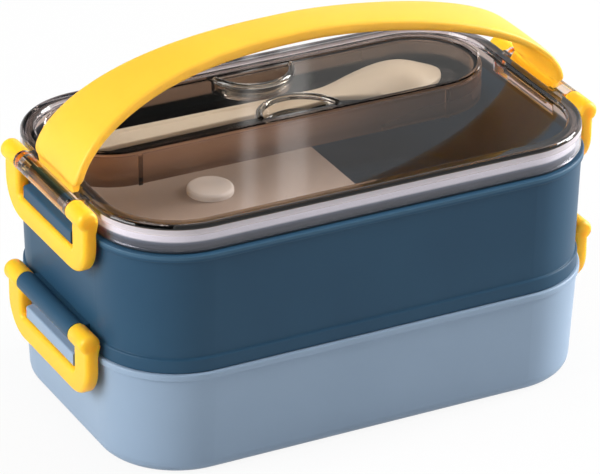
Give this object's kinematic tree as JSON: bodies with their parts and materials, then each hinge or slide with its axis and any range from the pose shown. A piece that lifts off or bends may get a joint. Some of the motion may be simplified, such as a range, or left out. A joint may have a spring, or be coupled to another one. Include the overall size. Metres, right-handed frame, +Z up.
{
  "type": "bento lunch box",
  "caption": "Stacked rectangular lunch box with rounded corners, smoky clear lid with a covered cutlery pocket, stirrup clips at the ends and an arched carry handle.",
  "frame": {"origin": "middle of the box on the surface that it stands on", "axes": "+X along the length toward the spoon's bowl, +Y to the back where the cutlery pocket is, +Z up"},
  "size_m": [0.2146, 0.125, 0.143],
  "materials": {
    "lower_box": "satin",
    "upper_box": "satin",
    "tier_seal": "matte",
    "lid_seal": "matte",
    "side_cup": "satin",
    "cup_cover": "satin",
    "vent_plug": "matte",
    "lid": "smoky clear plastic, polished",
    "cutlery_cover": "smoky clear plastic, polished",
    "spoon": "satin",
    "handle": "satin",
    "clip": "satin"
  },
  "bodies": {
    "lower_box": {"lower_box": "lower_box"},
    "upper_box": {"upper_box": "upper_box", "tier_seal": "tier_seal"},
    "lid": {"lid": "lid", "lid_seal": "lid_seal"},
    "side_cup": {"side_cup": "side_cup"},
    "cup_cover": {"cup_cover": "cup_cover"},
    "vent_plug": {"vent_plug": "vent_plug"},
    "cutlery_cover": {"cutlery_cover": "cutlery_cover"},
    "spoon": {"spoon": "spoon"},
    "handle": {"handle": "handle"},
    "clip_left_upper": {"clip_left_upper": "clip"},
    "clip_right_upper": {"clip_right_upper": "clip"},
    "clip_left_lower": {"clip_left_lower": "clip"},
    "clip_right_lower": {"clip_right_lower": "clip"}
  },
  "joints": [
    {"name": "upper_box_lift", "type": "slide", "parent": "lower_box", "child": "upper_box", "axis": [0, 0, 1], "range_m": [0, 0.096]},
    {"name": "side_cup_lift", "type": "slide", "parent": "upper_box", "child": "side_cup", "axis": [0, 0, 1], "range_m": [0, 0.096]},
    {"name": "cup_cover_lift", "type": "slide", "parent": "side_cup", "child": "cup_cover", "axis": [0, 0, 1], "range_m": [0, 0.096]},
    {"name": "vent_plug_pull", "type": "slide", "parent": "cup_cover", "child": "vent_plug", "axis": [0, 0, 1], "range_m": [0, 0.006]},
    {"name": "lid_lift", "type": "slide", "parent": "cup_cover", "child": "lid", "axis": [0, 0, 1], "range_m": [0, 0.096]},
    {"name": "spoon_lift", "type": "slide", "parent": "lid", "child": "spoon", "axis": [0, 0, 1], "range_m": [0, 0.008]},
    {"name": "cutlery_cover_lift", "type": "slide", "parent": "spoon", "child": "cutlery_cover", "axis": [0, 0, 1], "range_m": [0, 0.01]},
    {"name": "handle_swing", "type": "hinge", "parent": "lid", "child": "handle", "pos_m": [0.1033, 0, 0.0986], "axis": [0, 1, 0], "range_deg": [0, 85]},
    {"name": "clip_left_upper_open", "type": "hinge", "parent": "lid", "child": "clip_left_upper", "pos_m": [-0.1033, 0, 0.0986], "axis": [0, 1, 0], "range_deg": [0, 100]},
    {"name": "clip_right_upper_open", "type": "hinge", "parent": "lid", "child": "clip_right_upper", "pos_m": [0.1033, 0, 0.0986], "axis": [0, -1, 0], "range_deg": [0, 100]},
    {"name": "clip_left_lower_open", "type": "hinge", "parent": "upper_box", "child": "clip_left_lower", "pos_m": [-0.1033, 0, 0.0486], "axis": [0, 1, 0], "range_deg": [0, 100]},
    {"name": "clip_right_lower_open", "type": "hinge", "parent": "upper_box", "child": "clip_right_lower", "pos_m": [0.1033, 0, 0.0486], "axis": [0, -1, 0], "range_deg": [0, 100]}
  ]
}
